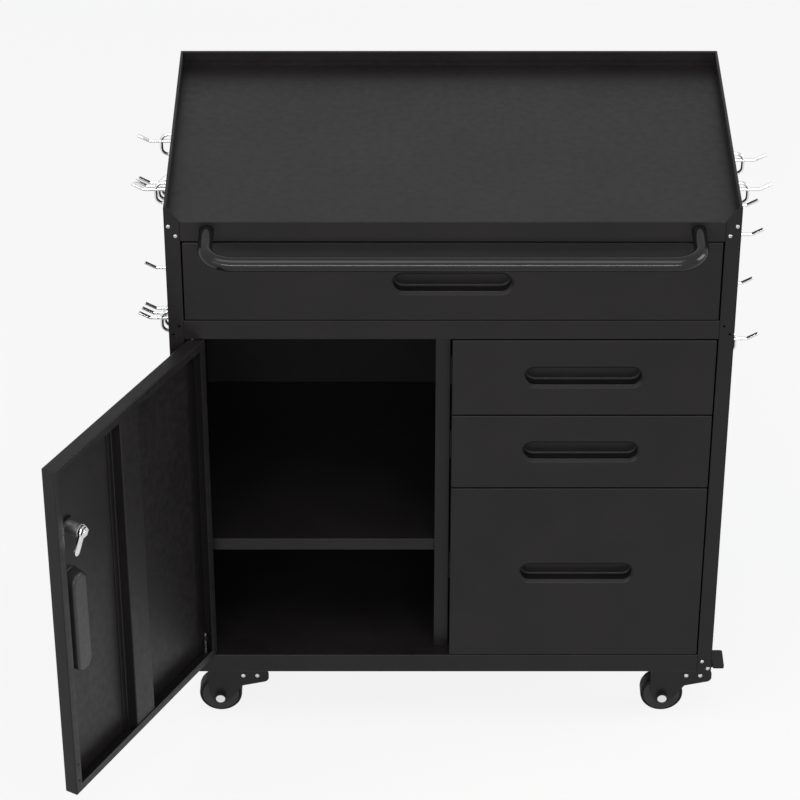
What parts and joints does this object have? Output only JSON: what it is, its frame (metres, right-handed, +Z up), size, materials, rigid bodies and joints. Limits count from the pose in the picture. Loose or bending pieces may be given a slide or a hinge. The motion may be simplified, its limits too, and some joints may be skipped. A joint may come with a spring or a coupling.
{
  "type": "rolling tool cabinet",
  "caption": "Sheet-steel tool cabinet on casters: drawers, a swing door with a cam lock, a tray top, a push handle and perforated sides that take wire hooks.",
  "frame": {"origin": "on the floor, under the middle of the sheet-metal body", "axes": "+X to the viewer's right, +Y towards the back (the drawers face -Y), +Z up"},
  "size_m": [0.9432, 0.7201, 0.8735],
  "materials": {
    "black_paint": "satin black powder coat",
    "chrome_steel": "bright plated wire and lock",
    "zinc_steel": "bright zinc plate",
    "wheel_rubber": "smooth black moulded wheel"
  },
  "bodies": {
    "cabinet": {"side_frame_left": "black_paint", "side_frame_right": "black_paint", "side_skin_left": "black_paint", "side_skin_right": "black_paint", "back_panel": "black_paint", "top_panel": "black_paint", "mid_deck": "black_paint", "bottom_pan": "black_paint", "base_channels": "black_paint", "divider_panel": "black_paint", "compartment_shelf": "black_paint", "push_handle": "black_paint", "frame_screws": "zinc_steel", "peg_hooks_left": "chrome_steel", "peg_hooks_right": "chrome_steel", "drawer_1_wall_rails": "black_paint", "drawer_2_wall_rails": "black_paint", "drawer_3_wall_rails": "black_paint", "drawer_4_wall_rails": "black_paint", "front_caster_plates": "zinc_steel", "rear_caster_plates": "zinc_steel", "rear_forks": "black_paint", "rear_axles": "zinc_steel", "caster_bolts": "zinc_steel"},
    "drawer_1": {"drawer_1_front": "black_paint", "drawer_1_cup": "black_paint", "drawer_1_box": "black_paint", "drawer_1_runners": "black_paint"},
    "drawer_2": {"drawer_2_front": "black_paint", "drawer_2_cup": "black_paint", "drawer_2_box": "black_paint", "drawer_2_runners": "black_paint"},
    "drawer_3": {"drawer_3_front": "black_paint", "drawer_3_cup": "black_paint", "drawer_3_box": "black_paint", "drawer_3_runners": "black_paint"},
    "drawer_4": {"drawer_4_front": "black_paint", "drawer_4_cup": "black_paint", "drawer_4_box": "black_paint", "drawer_4_runners": "black_paint"},
    "door": {"door_shell": "black_paint", "door_stiffener": "black_paint", "door_cup": "black_paint", "lock_barrel": "chrome_steel", "door_upper_pivot": "zinc_steel", "door_pivot_pin": "zinc_steel", "door_pivot_spring": "zinc_steel", "door_pivot_bracket": "black_paint"},
    "lock": {"lock_plug": "chrome_steel", "lock_cam": "chrome_steel"},
    "front_swivel_left": {"front_fork_left": "black_paint", "front_pins_left": "zinc_steel"},
    "brake_left": {"brake_pedal_left": "black_paint"},
    "front_roller_left": {"front_wheel_left": "wheel_rubber"},
    "rear_roller_left": {"rear_wheel_left": "wheel_rubber"},
    "front_swivel_right": {"front_fork_right": "black_paint", "front_pins_right": "zinc_steel"},
    "brake_right": {"brake_pedal_right": "black_paint"},
    "front_roller_right": {"front_wheel_right": "wheel_rubber"},
    "rear_roller_right": {"rear_wheel_right": "wheel_rubber"}
  },
  "joints": [
    {"name": "drawer_1_slide", "type": "slide", "parent": "cabinet", "child": "drawer_1", "axis": [0, -1, 0], "range_m": [0, 0.28]},
    {"name": "drawer_2_slide", "type": "slide", "parent": "cabinet", "child": "drawer_2", "axis": [0, -1, 0], "range_m": [0, 0.28]},
    {"name": "drawer_3_slide", "type": "slide", "parent": "cabinet", "child": "drawer_3", "axis": [0, -1, 0], "range_m": [0, 0.28]},
    {"name": "drawer_4_slide", "type": "slide", "parent": "cabinet", "child": "drawer_4", "axis": [0, -1, 0], "range_m": [0, 0.28]},
    {"name": "door_swing", "type": "hinge", "parent": "cabinet", "child": "door", "pos_m": [-0.3445, -0.206, 0.398], "axis": [0, 0, 1], "range_deg": [-10, 120]},
    {"name": "lock_turn", "type": "hinge", "parent": "door", "child": "lock", "pos_m": [-0.49821, -0.46424, 0.551], "axis": [0.866, -0.5, 0], "range_deg": [-58, 32]},
    {"name": "front_swivel_left_turn", "type": "hinge", "parent": "cabinet", "child": "front_swivel_left", "pos_m": [-0.3187, -0.165, 0.09], "axis": [0, 0, 1], "continuous": true},
    {"name": "front_wheel_left_spin", "type": "hinge", "parent": "front_swivel_left", "child": "front_roller_left", "pos_m": [-0.3276, -0.165, 0.0305], "axis": [0, 1, 0], "continuous": true},
    {"name": "brake_left_press", "type": "hinge", "parent": "front_swivel_left", "child": "brake_left", "pos_m": [-0.294, -0.165, 0.0688], "axis": [0, 1, 0], "range_deg": [0, 14]},
    {"name": "rear_wheel_left_spin", "type": "hinge", "parent": "cabinet", "child": "rear_roller_left", "pos_m": [-0.3187, 0.165, 0.0305], "axis": [1, 0, 0], "continuous": true},
    {"name": "front_swivel_right_turn", "type": "hinge", "parent": "cabinet", "child": "front_swivel_right", "pos_m": [0.3187, -0.165, 0.09], "axis": [0, 0, 1], "continuous": true},
    {"name": "front_wheel_right_spin", "type": "hinge", "parent": "front_swivel_right", "child": "front_roller_right", "pos_m": [0.3098, -0.165, 0.0305], "axis": [0, 1, 0], "continuous": true},
    {"name": "brake_right_press", "type": "hinge", "parent": "front_swivel_right", "child": "brake_right", "pos_m": [0.3434, -0.165, 0.0688], "axis": [0, 1, 0], "range_deg": [0, 14]},
    {"name": "rear_wheel_right_spin", "type": "hinge", "parent": "cabinet", "child": "rear_roller_right", "pos_m": [0.3187, 0.165, 0.0305], "axis": [1, 0, 0], "continuous": true}
  ]
}
